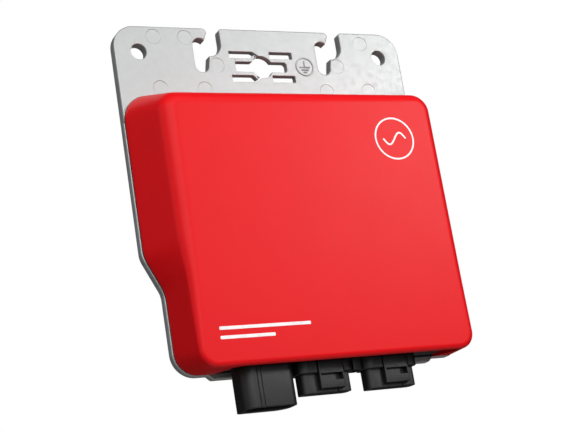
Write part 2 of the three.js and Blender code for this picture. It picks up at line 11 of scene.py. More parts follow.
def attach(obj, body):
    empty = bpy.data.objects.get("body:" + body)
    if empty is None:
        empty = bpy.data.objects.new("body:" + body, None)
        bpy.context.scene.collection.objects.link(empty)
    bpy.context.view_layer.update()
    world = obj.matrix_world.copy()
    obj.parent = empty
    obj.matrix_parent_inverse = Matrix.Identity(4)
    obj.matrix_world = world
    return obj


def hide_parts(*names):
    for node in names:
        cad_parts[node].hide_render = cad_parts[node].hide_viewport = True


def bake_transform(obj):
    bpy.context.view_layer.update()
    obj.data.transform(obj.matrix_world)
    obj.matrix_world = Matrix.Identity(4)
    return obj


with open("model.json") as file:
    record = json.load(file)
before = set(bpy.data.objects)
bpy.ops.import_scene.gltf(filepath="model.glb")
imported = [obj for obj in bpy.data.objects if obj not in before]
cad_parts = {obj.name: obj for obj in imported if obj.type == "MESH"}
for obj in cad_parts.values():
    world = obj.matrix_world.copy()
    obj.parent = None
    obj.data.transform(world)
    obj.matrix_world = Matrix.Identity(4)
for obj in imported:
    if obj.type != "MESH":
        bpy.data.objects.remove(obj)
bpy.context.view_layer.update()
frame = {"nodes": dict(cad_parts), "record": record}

# ------------------------------------------------------------------ dimensions, in millimetres
# Across is X. "front" is the distance before the plate's back, so Y = -front. "depth" is the
# distance below the plate's top edge, so Z = TOP - depth.
MM = 0.001
PLATE_WIDTH = 188.0
PLATE_HEIGHT = 208.7
PLATE_THICKNESS = 6.5
DEPTH = 44.2
TAB_DROP = 2.4
STEP_INSET = 9.7
LOW_RIGHT_CORNER = 5.0
STEP_START = 138.3
STEP_END = 159.4
GAP = 0.3
TOP = PLATE_HEIGHT / 2
HALF_WIDTH = PLATE_WIDTH / 2

COVER_INSET = 0.3
COVER_TOP = 43.3
COVER_BOTTOM = PLATE_HEIGHT - TAB_DROP - 0.2
TOP_SETBACK = 16.0
COVER_WALL = 2.2
LOW_LEFT_CORNER = 13.0
FACE_CORNER = 10.0
STEP_SETBACK = 5.0
FACE_HALF_WIDTH = 84.4
FACE_TOP = 55.9
FACE_BOTTOM = 209.4
FOOT = PLATE_THICKNESS + GAP

HOOK_CENTRES = (-40.6, 40.1)
CORNER_HOLE_X = 79.3
CORNER_HOLE_DEPTH = 16.1
CORNER_HOLE_RADIUS = 4.8

KEYHOLE_X = -2.1
KEYHOLE_DEPTH = 24.0
KEYHOLE_RADIUS = 7.0
ARM_HALF_HEIGHT = 3.2
ARM_LEFT = -19.6
ARM_RIGHT = 14.4
SLIT_NEAR = 5.4
SLIT_FAR = 9.7
TONGUE_ROOT = -19.2
TONGUE_START = TONGUE_ROOT - GAP
SLIT_END = TONGUE_ROOT - 3.5
SLIT_RIGHT = (3.7, 18.9)
WEB_THICKNESS = 4.2
WEB = (-26.0, 22.0, 11.5, 36.5)

PANEL_LEFT = -62.5
PANEL_RIGHT = 77.5
PANEL_FRONT = 40.2
PANEL_TOP = 199.5
PANEL_BOTTOM = 205.0
PANEL_CORNER = 5.7
UNDER_PANEL = PANEL_BOTTOM + GAP

SCREW_PLACES = ((-81.5, 55.5), (81.5, 55.5), (-75.3, 197.4), (84.6, 196.5))
SCREW = {"head_back": 0.7, "head_front": 3.7, "head_radius": 4.0, "radius": 2.0, "tip": 20.0}

DC = {
    "x": -43.05, "front": 26.5, "half_width": 14.95, "half_depth": 9.0, "wall": 2.0,
    "bottom": 230.9, "corners": (7.0, 4.0, 8.0, 2.5), "pins": (-6.5, 6.5), "pin_radius": 1.5,
    "pin_tip": 222.0, "name": "dc", "suffix": "",
}
AC = {
    "front": 26.5, "half_width": 15.1, "half_depth": 4.2, "wall": 1.5,
    "bottom": 225.4, "corners": (4.0, 2.0, 3.6, 1.5), "pins": (-9.0, 0.0, 9.0), "pin_radius": 1.0,
    "pin_tip": 220.5, "name": "ac",
}
AC_LEFT = dict(AC, x=-7.3, suffix="_left")
AC_RIGHT = dict(AC, x=33.6, suffix="_right")
CONNECTORS = (DC, AC_LEFT, AC_RIGHT)
GROOVES = (-7.7, -5.4)
LATCH = {
    "left": -5.1, "right": 10.2, "leg": 1.0, "proud": 2.8, "window_top": 215.1, "bar_top": 219.1,
    "bar_bottom": 223.4, "pocket": 5.0, "pocket_depth": 1.1, "floor": 1.8,
}
LEDGE = (22.0, 31.0)
COLLAR_BOTTOM = 214.5
COLLAR_GROWTH = 2.4
CARRIER_FOOT = 210.0
NECK_INSET = 1.2


# ------------------------------------------------------------------ outlines
def mix(a, b, t):
    return a + (b - a) * t


def unit(v):
    return v / np.maximum(np.linalg.norm(v, axis=-1, keepdims=True), 1e-12)


def arc(cx, cy, radius, start, end, steps):
    """Points on an arc, with the angles in degrees."""
    angles = np.radians(np.linspace(start, end, steps + 1))
    return np.stack([cx + radius * np.cos(angles), cy + radius * np.sin(angles)], 1)


def circle(cx, cy, radius, steps=64):
    return arc(cx, cy, radius, 0, 360, steps)[:-1]


def rounded(corners, steps=12):
    """An outline from corners (across, along, setback). Each is an arc that starts and ends setback away
    from it."""
    points = []
    count = len(corners)
    for i, (x, y, setback) in enumerate(corners):
        corner = np.array((x, y), float)
        if setback <= 0:
            points.append(corner)
            continue
        before = unit(np.array(corners[i - 1][:2], float) - corner)
        after = unit(np.array(corners[(i + 1) % count][:2], float) - corner)
        weight = math.sin(math.acos(max(-1.0, min(1.0, float(before @ after)))) / 2)
        for t in np.linspace(0, 1, steps + 1):
            a, b, c = (1 - t) ** 2, 2 * t * (1 - t) * weight, t ** 2
            points.append(corner + (before * a + after * c) * setback / (a + b + c))
    return np.array(points)


def rectangle(x0, x1, y0, y1, setback=0.0):
    return [(x0, y0, setback), (x1, y0, setback), (x1, y1, setback), (x0, y1, setback)]


def hanging(points):
    """Points (across, depth) as (across, height)."""
    points = np.array(points, float)
    points[:, 1] = TOP - points[:, 1]
    return points


def area(loop):
    x, y = loop[:, 0], loop[:, 1]
    return 0.5 * float(np.sum(x * np.roll(y, -1) - y * np.roll(x, -1)))


def wound(loop, left_turning):
    """The loop going anticlockwise, or clockwise."""
    return loop if (area(loop) > 0) == left_turning else loop[::-1].copy()


def drawn_in(loop, distance):
    """The loop moved to the left of its direction, by a distance that may differ from point to point."""
    ahead = unit(np.roll(loop, -1, 0) - loop)
    behind = np.roll(ahead, 1, 0)
    turned = lambda d: np.stack([-d[:, 1], d[:, 0]], 1)
    n0, n1 = turned(behind), turned(ahead)
    reach = 1 + np.sum(n0 * n1, 1, keepdims=True)
    distance = np.broadcast_to(np.asarray(distance, float), (len(loop),))[:, None]
    return loop + distance * (n0 + n1) / np.maximum(reach, 0.3)


# ------------------------------------------------------------------ meshes
def upright(points, height):
    """Points of an outline in the XZ plane at a distance before the plate's back."""
    height = np.broadcast_to(np.asarray(height, float), (len(points),))
    return np.stack([points[:, 0], -height, points[:, 1]], 1)


def level(points, height):
    """Points of an outline in the XY plane at a depth below the plate's top edge."""
    height = np.broadcast_to(np.asarray(height, float), (len(points),))
    return np.stack([points[:, 0], points[:, 1], TOP - height], 1)


def inside(loops, point):
    """True if the point is in the outline and in none of its holes."""
    odd = False
    for loop in loops:
        a, b = loop, np.roll(loop, -1, 0)
        crossing = (a[:, 1] > point[1]) != (b[:, 1] > point[1])
        rise = np.where(crossing, b[:, 1] - a[:, 1], 1.0)
        at = a[:, 0] + (point[1] - a[:, 1]) / rise * (b[:, 0] - a[:, 0])
        odd ^= bool(np.sum(crossing & (at > point[0])) % 2)
    return odd


def filled(loops):
    """Triangles that fill the loops' region. Their corners count through the loops in order."""
    points = np.concatenate(loops)
    edges, start = [], 0
    for loop in loops:
        count = len(loop)
        edges.extend((start + k, start + (k + 1) % count) for k in range(count))
        start += count
    made = delaunay_2d_cdt([Vector(p) for p in points], edges, [], 1, 1e-7)
    corners, faces, origins = made[0], made[2], made[3]
    own = [o[0] if o else None for o in origins]
    kept = []
    for face in faces:
        middle = sum((np.array(corners[k]) for k in face), np.zeros(2)) / len(face)
        if inside(loops, middle) and None not in [own[k] for k in face]:
            kept.append([own[k] for k in face])
    return kept


def mesh_object(name, vertices, faces, smooth=30.0):
    """An object from millimetre vertices, merged, with its faces turned outwards."""
    mesh = bpy.data.meshes.new(name)
    bm = bmesh.new()
    made = [bm.verts.new(Vector(v) * MM) for v in vertices]
    for face in faces:
        if len(set(face)) > 2:
            try:
                bm.faces.new([made[k] for k in face])
            except ValueError:
                continue
    bmesh.ops.remove_doubles(bm, verts=bm.verts, dist=2e-6)
    bmesh.ops.dissolve_degenerate(bm, edges=bm.edges, dist=1e-6)
    bmesh.ops.recalc_face_normals(bm, faces=bm.faces)
    bm.to_mesh(mesh)
    bm.free()
    obj = bpy.data.objects.new(name, mesh)
    bpy.context.scene.collection.objects.link(obj)
    shade(obj, smooth)
    return obj


def shade(obj, angle=30.0):
    obj.data.shade_smooth()
    obj.data.set_sharp_from_angle(angle=math.radians(angle))


FILLET_STEPS = 5
HOLD = 0.2  # width of the flat band beside a fillet


def fillet_rings(loop, low, high, low_radius, high_radius):
    """Rings (outline, height) up a wall: a fillet at its lower end, and one at its upper end. The radii
    are numbers, or functions of a point of the outline."""
    radii = [np.array([r(p) for p in loop]) if callable(r) else r for r in (low_radius, high_radius)]
    low_radius, high_radius = radii
    quarter = np.radians(np.linspace(0, 90, FILLET_STEPS + 1))
    steps = [(low_radius + HOLD, low)]
    steps += [(low_radius * (1 - math.sin(a)), low + low_radius * (1 - math.cos(a))) for a in quarter]
    steps += [(high_radius * (1 - math.cos(a)), high - high_radius * (1 - math.sin(a))) for a in quarter]
    steps.append((high_radius + HOLD, high))
    return [(drawn_in(loop, inset), height) for inset, height in steps]


def walled(name, ring_sets, place=upright, smooth=30.0):
    """A solid between two flat caps, from the rings up each of its walls: the outer one, then its holes."""
    vertices, faces, start = [], [], 0
    first_index, last_index = [], []
    for rings in ring_sets:
        count = len(rings[0][0])
        for loop, height in rings:
            vertices.extend(place(loop, height))
        for ring in range(len(rings) - 1):
            for k in range(count):
                a, b = start + ring * count + k, start + ring * count + (k + 1) % count
                faces.append((a, b, b + count, a + count))
        first_index.extend(range(start, start + count))
        last = start + (len(rings) - 1) * count
        last_index.extend(range(last, last + count))
        start += len(rings) * count
    first, last = ([rings[end][0] for rings in ring_sets] for end in (0, -1))
    faces.extend([first_index[k] for k in face[::-1]] for face in filled(first))
    faces.extend([last_index[k] for k in face] for face in filled(last))
    return mesh_object(name, vertices, faces, smooth)


def prism(name, outer, holes, low, high, fillets, place=upright, smooth=30.0):
    """A prism with rounded rims. fillets gives (low radius, high radius) for the outline and then for each
    hole, or once for all."""
    loops = [wound(outer, True)] + [wound(h, False) for h in holes]
    if not isinstance(fillets, list):
        fillets = [fillets] * len(loops)
    ring_sets = [fillet_rings(loop, low, high, *radii) for loop, radii in zip(loops, fillets)]
    return walled(name, ring_sets, place, smooth)


def lofted(name, rings, place=upright, smooth=30.0):
    """A solid through a row of matching rings (outline, height), closed by filling the first and the last."""
    count = len(rings[0][0])
    vertices = np.concatenate([place(loop, height) for loop, height in rings])
    faces = []
    for ring in range(len(rings) - 1):
        for k in range(count):
            a, b = ring * count + k, ring * count + (k + 1) % count
            faces.append((a, b, b + count, a + count))
    last = (len(rings) - 1) * count
    faces.extend(face[::-1] for face in filled([rings[0][0]]))
    faces.extend([last + k for k in face] for face in filled([rings[-1][0]]))
    return mesh_object(name, vertices, faces, smooth)


def turned(name, profile, centre, axis="Z", steps=48, smooth=30.0):
    """A turned piece. Profile points are [radius, place along the axis]; centre is in millimetres."""
    profile = np.array(profile, float)
    vertices, faces = [], []
    count = len(profile)
    for k in range(steps):
        a = 2 * math.pi * k / steps
        for radius, along in profile:
            across, up = radius * math.cos(a), radius * math.sin(a)
            if axis == "Z":
                vertices.append((centre[0] + across, centre[1] + up, centre[2] + along))
            else:
                vertices.append((centre[0] + across, centre[1] + along, centre[2] + up))
    for k in range(steps):
        n = (k + 1) % steps
        for i in range(count - 1):
            faces.append((k * count + i, n * count + i, n * count + i + 1, k * count + i + 1))
    return mesh_object(name, vertices, faces, smooth)


def joined(objects):
    """Objects that do not touch, as one."""
    bm = bmesh.new()
    for obj in objects:
        bm.from_mesh(obj.data)
    bm.to_mesh(objects[0].data)
    bm.free()
    for obj in objects[1:]:
        bpy.data.objects.remove(obj)
    return objects[0]


def clean(mesh, reach=2e-6):
    """Welds the specks that a boolean leaves, and splits its many-sided faces."""
    work = bmesh.new()
    work.from_mesh(mesh)
    bmesh.ops.remove_doubles(work, verts=work.verts, dist=reach)
    bmesh.ops.dissolve_degenerate(work, dist=reach, edges=work.edges)
    many_sided = [face for face in work.faces if len(face.verts) > 4]
    bmesh.ops.triangulate(work, faces=many_sided)
    work.to_mesh(mesh)
    work.free()


def boolean(obj, cutters, operation="DIFFERENCE", smooth=30.0):
    """Cuts the solids in cutters out of obj, or adds them, and removes them."""
    for cutter in cutters:
        modifier = obj.modifiers.new("boolean", "BOOLEAN")
        modifier.operation = operation
        modifier.solver = "EXACT"
        modifier.object = cutter
        depsgraph = bpy.context.evaluated_depsgraph_get()
        mesh = bpy.data.meshes.new_from_object(obj.evaluated_get(depsgraph))
        obj.modifiers.clear()
        old = obj.data
        obj.data = mesh
        bpy.data.meshes.remove(old)
        bpy.data.objects.remove(cutter)
    clean(obj.data)
    shade(obj, smooth)
    return obj


def box(x0, x1, back, front, upper, lower):
    """A plain block to cut with."""
    corners = np.array([(x0, lower), (x1, lower), (x1, upper), (x0, upper)], float)
    loop = hanging(corners)
    vertices = np.concatenate([upright(loop, back), upright(loop, front)])
    faces = [(3, 2, 1, 0), (4, 5, 6, 7)]
    faces += [(k, (k + 1) % 4, (k + 1) % 4 + 4, k + 4) for k in range(4)]
    return mesh_object("cutter", vertices, faces)


def plain_prism(outer, low, high, place=upright):
    """A prism with sharp rims, to cut with."""
    loop = wound(outer, True)
    count = len(loop)
    vertices = np.concatenate([place(loop, low), place(loop, high)])
    faces = [tuple(range(count))[::-1], tuple(range(count, 2 * count))]
    faces += [(k, (k + 1) % count, (k + 1) % count + count, k + count) for k in range(count)]
    return mesh_object("cutter", vertices, faces)


# ------------------------------------------------------------------ materials
def linear(r, g, b):
    """sRGB 0 to 255 as linear light."""
    convert = lambda c: c / 12.92 if c <= 0.04045 else ((c + 0.055) / 1.055) ** 2.4
    return tuple(convert(v / 255.0) for v in (r, g, b))


NOISE_LOW, NOISE_HIGH = 0.3, 0.7  # the middle of a noise, where most of its values lie


class Surface:
    """A procedural material: a Principled shader with helpers to drive its colour, roughness and bump."""

    def __init__(self, name, roughness, metallic=0.0, **fixed):
        self.material = bpy.data.materials.new(name)
        self.material.use_nodes = True
        self.tree = self.material.node_tree
        self.shader = self.tree.nodes["Principled BSDF"]
        self.shader.inputs["Roughness"].default_value = roughness
        self.shader.inputs["Metallic"].default_value = metallic
        for key, value in fixed.items():
            self.shader.inputs[key.replace("_", " ")].default_value = value
        self.height = None
        coordinates = self.node("ShaderNodeTexCoord")
        self.place = coordinates.outputs["Object"]

    def node(self, kind, **settings):
        made = self.tree.nodes.new(kind)
        for key, value in settings.items():
            setattr(made, key, value)
        return made

    def link(self, source, target):
        self.tree.links.new(source, target)

    def noise(self, size, detail=3.0, stretch=(1, 1, 1)):
        """Noise whose grains are about `size` millimetres across."""
        mapping = self.node("ShaderNodeMapping")
        mapping.inputs["Scale"].default_value = [s / (size * MM) for s in stretch]
        self.link(self.place, mapping.inputs["Vector"])
        noise = self.node("ShaderNodeTexNoise")
        noise.inputs["Scale"].default_value = 1.0
        noise.inputs["Detail"].default_value = detail
        noise.inputs["Roughness"].default_value = 0.55
        self.link(mapping.outputs["Vector"], noise.inputs["Vector"])
        return noise.outputs["Fac"]

    def ramp(self, value, stops):
        ramp = self.node("ShaderNodeValToRGB")
        elements = ramp.color_ramp.elements
        while len(elements) < len(stops):
            elements.new(0.5)
        for element, (position, colour) in zip(elements, stops):
            element.position = position
            element.color = (*colour, 1.0)
        self.link(value, ramp.inputs["Fac"])
        return ramp.outputs["Color"]

    def colour(self, value):
        self.link(value, self.shader.inputs["Base Color"])

    def mottle(self, noise, dark, light):
        """Colours it from dark to light over the middle of the noise."""
        self.colour(self.ramp(noise, [(NOISE_LOW, dark), (NOISE_HIGH, light)]))

    def rough(self, noise, low, high):
        """Varies its roughness from low to high over the middle of the noise."""
        spread = self.node("ShaderNodeMapRange")
        ends = {"From Min": NOISE_LOW, "From Max": NOISE_HIGH, "To Min": low, "To Max": high}
        for key, number in ends.items():
            spread.inputs[key].default_value = number
        self.link(noise, spread.inputs["Value"])
        self.link(spread.outputs["Result"], self.shader.inputs["Roughness"])

    def bump(self, value, distance, strength=1.0):
        """Adds relief of that many millimetres on top of what is there."""
        bump = self.node("ShaderNodeBump")
        bump.inputs["Strength"].default_value = strength
        bump.inputs["Distance"].default_value = distance * MM
        self.link(value, bump.inputs["Height"])
        if self.height is not None:
            self.link(self.height, bump.inputs["Normal"])
        self.height = bump.outputs["Normal"]
        self.link(self.height, self.shader.inputs["Normal"])

def shades(colour, *factors):
    return [tuple(c * f for c in colour) for f in factors]


def make_red():
    s = Surface("red_cover", 0.4, Specular_IOR_Level=0.15)
    dark, light = shades((0.74, 0.006, 0.0095), 0.985, 1.015)
    s.mottle(s.noise(40, 2), dark, light)
    s.rough(s.noise(6, 3), 0.38, 0.42)
    s.bump(s.noise(0.6, 2), 0.006, 0.5)
    return s.material


def make_plate(name, rgb):
    s = Surface(name, 0.5, 0.6, Specular_IOR_Level=0.5)
    dark, light = shades(linear(*rgb), 0.97, 1.02)
    s.mottle(s.noise(8, 3), dark, light)
    s.rough(s.noise(3, 3), 0.46, 0.56)
    s.bump(s.noise(0.7, 3), 0.012, 0.5)
    return s.material


def make_black(name, rgb, rough_low, rough_high):
    s = Surface(name, 0.5, Specular_IOR_Level=0.5)
    dark, light = shades(linear(*rgb), 0.8, 1.2)
    s.mottle(s.noise(5, 4), dark, light)
    s.rough(s.noise(2, 3), rough_low, rough_high)
    s.bump(s.noise(0.25, 2), 0.012, 0.6)
    return s.material


def make_metal(name, rgb, rough_low, rough_high, stretch=(1, 1, 1)):
    s = Surface(name, 0.3, 1.0)
    dark, light = shades(linear(*rgb), 0.85, 1.08)
    s.mottle(s.noise(2.5, 4), dark, light)
    s.rough(s.noise(0.8, 3, stretch=stretch), rough_low, rough_high)
    s.bump(s.noise(0.3, 2, stretch=stretch), 0.006, 0.5)
    return s.material


def make_board():
    s = Surface("board_green", 0.4)
    dark, light = shades(linear(24, 88, 48), 0.6, 1.15)
    s.colour(s.ramp(s.noise(4, 2, stretch=(1, 1, 0.15)), [(0.45, dark), (0.55, light)]))
    s.rough(s.noise(6, 3), 0.3, 0.5)
    s.bump(s.noise(2, 2), 0.03, 0.5)
    return s.material


def make_winding():
    s = Surface("copper_winding", 0.3, 0.9)
    wave = s.node("ShaderNodeTexWave", wave_type="BANDS", bands_direction="Z")
    wave.inputs["Scale"].default_value = 1 / (0.9 * MM) / 10
    s.link(s.place, wave.inputs["Vector"])
    # the bands are dark where the wave's relief is low and light where it is high: painted shade in the
    # grooves between the turns and a painted highlight on their crests
    dark, light = shades(linear(176, 92, 40), 0.45, 1.1)
    s.colour(s.ramp(wave.outputs["Fac"], [(0.0, dark), (1.0, light)]))
    s.rough(s.noise(1, 2), 0.25, 0.4)
    s.bump(wave.outputs["Fac"], 0.2, 0.8)
    return s.material


def make_plain(name, rgb, rough_low, rough_high, grain=1.0, relief=0.02, metallic=0.0):
    s = Surface(name, 0.5, metallic)
    dark, light = shades(linear(*rgb), 0.85, 1.1)
    s.mottle(s.noise(grain * 6, 4), dark, light)
    s.rough(s.noise(grain * 3, 3), rough_low, rough_high)
    s.bump(s.noise(grain * 0.5, 3), relief, 0.6)
    return s.material


MATERIALS = {
    "cast_plate": make_plate("cast_plate", (175, 177, 177)),
    # the earth mark is cast in the plate's grey; its darker grey is painted shade for the shading along its
    # raised rims
    "mark_painted_shade": make_plate("mark_painted_shade", (155, 157, 157)),
    "red_cover": make_red(),
    "black_plastic": make_black("black_plastic", (21, 21, 22), 0.42, 0.5),
    "component_black": make_black("component_black", (30, 30, 32), 0.45, 0.65),
    "seal_rubber": make_plain("seal_rubber", (24, 24, 25), 0.7, 0.9, 0.6),
    "contact_brass": make_metal("contact_brass", (214, 178, 104), 0.18, 0.32),
    "screw_steel": make_metal("screw_steel", (186, 188, 192), 0.22, 0.4),
    "board_green": make_board(),
    "pad_grey": make_plain("pad_grey", (140, 146, 154), 0.8, 0.95, 1.0, 0.05),
    "ferrite": make_plain("ferrite", (54, 55, 58), 0.55, 0.75, 0.5, 0.03, 0.1),
    "copper_winding": make_winding(),
    "can_blue": make_plain("can_blue", (34, 50, 92), 0.3, 0.45, 2.0, 0.01, 0.1),
    "film_yellow": make_plain("film_yellow", (214, 164, 44), 0.4, 0.55, 1.5, 0.02),
    "shield_steel": make_metal("shield_steel", (190, 190, 194), 0.25, 0.45, (1, 1, 0.1)),
    "print_white": make_plain("print_white", (245, 242, 242), 0.45, 0.55, 1.0, 0.004),
}


def dress(obj, material):
    obj.data.materials.clear()
    obj.data.materials.append(MATERIALS[material])


def piece(obj, name, slot, body="housing", replaces=(), material=None):
    """Names a finished piece, gives it its finish, and sets it on its body in place of CAD nodes.
    A piece that bends between two bodies has no body of its own."""
    obj.name = name
    obj.data.name = name
    dress(obj, material or slot)
    if body:
        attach(obj, body)
    if replaces:
        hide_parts(*replaces)
    return obj


for row in frame["record"]["subparts"]:
    dress(frame["nodes"][row["node"]], row["material_slot"])


# ------------------------------------------------------------------ cover outline
def cover_outline(t, steps=14):
    """The cover's outline at a share t of the way from its foot to its face."""
    foot = HALF_WIDTH - COVER_INSET
    half_width = mix(foot, FACE_HALF_WIDTH, t)
    left_low = mix(foot - STEP_INSET, FACE_HALF_WIDTH - 0.2, t)
    top = mix(COVER_TOP, FACE_TOP, t)
    bottom = mix(COVER_BOTTOM, FACE_BOTTOM, t)
    left_corner, right_corner, top_corner = (
        mix(at_foot, FACE_CORNER, t) for at_foot in (LOW_LEFT_CORNER, LOW_RIGHT_CORNER, TOP_SETBACK)
    )
    corners = [
        (-left_low, bottom, left_corner), (half_width, bottom, right_corner),
        (half_width, top, top_corner), (-half_width, top, top_corner),
        (-half_width, STEP_START, STEP_SETBACK), (-left_low, STEP_END, STEP_SETBACK),
    ]
    return hanging(rounded(corners, steps))


# Where the outline gets extra points: the same places at every height, so that rings match.
LONG_SIDE = 6.0
FOOT_OUTLINE = cover_outline(0.0)
SIDE_PIECES = [
    max(1, math.ceil(np.linalg.norm(b - a) / LONG_SIDE))
    for a, b in zip(FOOT_OUTLINE, np.roll(FOOT_OUTLINE, -1, 0))
]


def cover_ring(t):
    points = []
    loop = cover_outline(t)
    for a, b, pieces in zip(loop, np.roll(loop, -1, 0), SIDE_PIECES):
        points.extend(a + (b - a) * k / pieces for k in range(pieces))
    return np.array(points)


def share_at(front):
    return (front - PLATE_THICKNESS) / (DEPTH - PLATE_THICKNESS)


# Radius of the rounding between the face and the walls: depth, then the radius on the left and right.
EDGE_ROUNDING = ((60.0, 7.0, 4.6), (130.0, 6.2, 4.4), (170.0, 5.2, 4.2), (196.0, 3.4, 3.4), (209.0, 3.0, 3.0))


def edge_radius(point):
    depths, lefts, rights = (np.array(column) for column in zip(*EDGE_ROUNDING))
    depth = TOP - point[1]
    across = min(1.0, max(0.0, (point[0] + FACE_HALF_WIDTH) / (2 * FACE_HALF_WIDTH)))
    return mix(float(np.interp(depth, depths, lefts)), float(np.interp(depth, depths, rights)), across)


def cover_shell(inset, foot_front, face_front, radii, foot_round, wall_rows, edge_rows):
    """Rings of the cover's surface, drawn in by inset, from its foot to its face."""
    rings = []
    steps = np.radians(np.linspace(0, 90, 5))
    if foot_round:
        rings.append(ring_at(foot_front, foot_round + HOLD))
        for a in steps:
            rings.append(ring_at(foot_front + foot_round * (1 - math.cos(a)), foot_round * (1 - math.sin(a))))
    wall_start = foot_front + foot_round
    for row in np.linspace(0, 1, wall_rows)[1 if foot_round else 0:]:
        # every point climbs to where its own rounding starts
        rings.append(ring_at(wall_start + (face_front - radii - wall_start) * row, inset))
    for row in np.linspace(0, 1, edge_rows)[1:]:
        a = row * math.pi / 2
        rings.append(ring_at(face_front - radii * (1 - math.sin(a)), inset + radii * (1 - math.cos(a))))
    rings.append(ring_at(face_front, inset + radii + 0.5))
    return rings


def ring_at(fronts, insets):
    """A ring of the cover's outline whose points lie at given distances before the back, drawn in."""
    count = len(cover_ring(0.0))
    fronts = np.broadcast_to(np.asarray(fronts, float), (count,))
    shares = np.round(share_at(fronts), 4)
    loop = np.zeros((count, 2))
    for share in sorted(set(shares)):
        same = shares == share
        loop[same] = cover_ring(share)[same]
    turning = 1.0 if area(loop) > 0 else -1.0
    return drawn_in(loop, turning * np.asarray(insets, float)), fronts


def front_cover():
    radii = np.array([edge_radius(p) for p in cover_ring(1.0)])
    outside = lofted("front_cover", cover_shell(0.0, FOOT, DEPTH, radii, 0.4, 14, 12))
    hollow_front = DEPTH - COVER_WALL - GAP
    inner_radii = np.full(len(radii), 2.0)
    hollow = lofted("cutter", cover_shell(COVER_WALL, FOOT - 1, hollow_front, inner_radii, 0, 4, 4))
    boolean(outside, [hollow])
    opening = rounded([
        (PANEL_LEFT - GAP, -PANEL_FRONT - GAP, PANEL_CORNER + GAP),
        (PANEL_RIGHT + GAP, -PANEL_FRONT - GAP, PANEL_CORNER + GAP),
        (PANEL_RIGHT + GAP, -FOOT + 1, 0), (PANEL_LEFT - GAP, -FOOT + 1, 0),
    ])
    boolean(outside, [plain_prism(opening, PANEL_TOP - 2, PLATE_HEIGHT + 4, level)])
    return outside


piece(front_cover(), "front_cover_shell", "red_cover", replaces=["front_cover"])


# ------------------------------------------------------------------ mounting plate
GASKET_SEAT = PLATE_THICKNESS - 1.4
SEAT_START = COVER_TOP + TOP_SETBACK  # the seat is open to the side below this depth
RIM_RADIUS = 0.8


def hook_outline(x):
    """A hook's opening: from the rounded tip, round the seat, the pocket and the lap, to the rounded wall."""
    seat = (x + 0.1, 11.15, 4.55)
    pocket = (x - 0.2, 23.6, 4.3)
    lap = (x + 5.3, 9.2, 8.5)
    tip, wall, tip_radius, wall_radius, underside = x + 5.6, x + 13.8, 2.8, 1.7, 7.9
    up = lambda depth: TOP - depth
    start = math.degrees(math.asin((seat[1] - underside) / seat[2]))
    return np.concatenate([
        arc(tip - tip_radius, up(tip_radius), tip_radius, 90, 0, 8),
        arc(seat[0], up(seat[1]), seat[2], start, 180, 20),
        arc(pocket[0], up(pocket[1]), pocket[2], 180, 360, 24),
        arc(lap[0], up(lap[1]), lap[2], -90, 0, 14),
        arc(wall + wall_radius, up(wall_radius), wall_radius, 180, 90, 8),
    ])


def plate_outline():
    corner, low, steps = 13.5, PLATE_HEIGHT - TAB_DROP, 14
    seat_above, seat_below = SEAT_START - 0.1, SEAT_START + 0.1
    loop = hanging(rounded([
        (-HALF_WIDTH + STEP_INSET, low, corner), (PANEL_LEFT - 2.5, low, 0.8),
        (PANEL_LEFT, PLATE_HEIGHT, 0.8), (PANEL_RIGHT - 1.5, PLATE_HEIGHT, 0.8),
        (PANEL_RIGHT + 1, low, 0.8), (HALF_WIDTH, low, LOW_RIGHT_CORNER),
        (HALF_WIDTH, seat_below, 0), (HALF_WIDTH, seat_above, 0), (HALF_WIDTH, 0, corner),
        (-HALF_WIDTH, 0, corner), (-HALF_WIDTH, seat_above, 0), (-HALF_WIDTH, seat_below, 0),
        (-HALF_WIDTH, STEP_START, 3), (-HALF_WIDTH + STEP_INSET, STEP_END, 3),
    ], steps))
    rounded_before, sharp_before = 7, 2
    before_hooks = rounded_before * (steps + 1) + sharp_before
    hooks = [hook_outline(x)[::-1] for x in HOOK_CENTRES[::-1]]
    return np.concatenate([loop[:before_hooks], *hooks, loop[before_hooks:]])


def keyhole_outline():
    """The keyhole with its two arms and, on its left, the slits that free the two tongues."""
    def half(side):
        at = lambda x, offset: (x, KEYHOLE_DEPTH + side * offset)
        meet = math.degrees(math.asin(ARM_HALF_HEIGHT / KEYHOLE_RADIUS))
        ring = arc(0, 0, KEYHOLE_RADIUS, meet, 98, 16)
        points = [at(ARM_RIGHT, 0)]
        points += [at(ARM_RIGHT - 2 + 2 * math.cos(a), ARM_HALF_HEIGHT - 2 + 2 * math.sin(a))
                   for a in np.radians(np.linspace(0, 90, 7))]
        points += [at(KEYHOLE_X + px, py) for px, py in ring]
        points += [at(-7.6, SLIT_FAR), at(SLIT_END, SLIT_FAR), at(SLIT_END, SLIT_NEAR)]
        points += [at(TONGUE_START, SLIT_NEAR), at(TONGUE_START, 1.9), at(ARM_LEFT, 1.2)]
        return points
    upper, lower = half(-1), half(1)
    return hanging(upper + lower[::-1][:-1])


EJECTOR_RADIUS = 4.7
EJECTOR_PLACES = (
    (-69.2, 6.4), (-49.4, 6.4), (-68.9, 38.5), (-41.2, 38.7), (-31.3, 23.4),
    (68.1, 6.9), (49.1, 22.5), (39.0, 39.1), (68.1, 38.3),
)


def ejector_mark(x, depth):
    """What a moulding pin leaves: a shallow round with a sloping rim."""
    wide = hanging(circle(x, depth, EJECTOR_RADIUS, 40))
    narrow = hanging(circle(x, depth, EJECTOR_RADIUS - 0.3, 40))
    wider = hanging(circle(x, depth, EJECTOR_RADIUS + 0.3, 40))
    floor = PLATE_THICKNESS - 0.2
    return lofted("cutter", [(narrow, floor), (wide, PLATE_THICKNESS), (wider, PLATE_THICKNESS + 0.2)])


def slit_outline(side):
    near, far = sorted((KEYHOLE_DEPTH + side * SLIT_NEAR, KEYHOLE_DEPTH + side * SLIT_FAR))
    return hanging(rounded(rectangle(*SLIT_RIGHT, near, far, 0.6), 5))


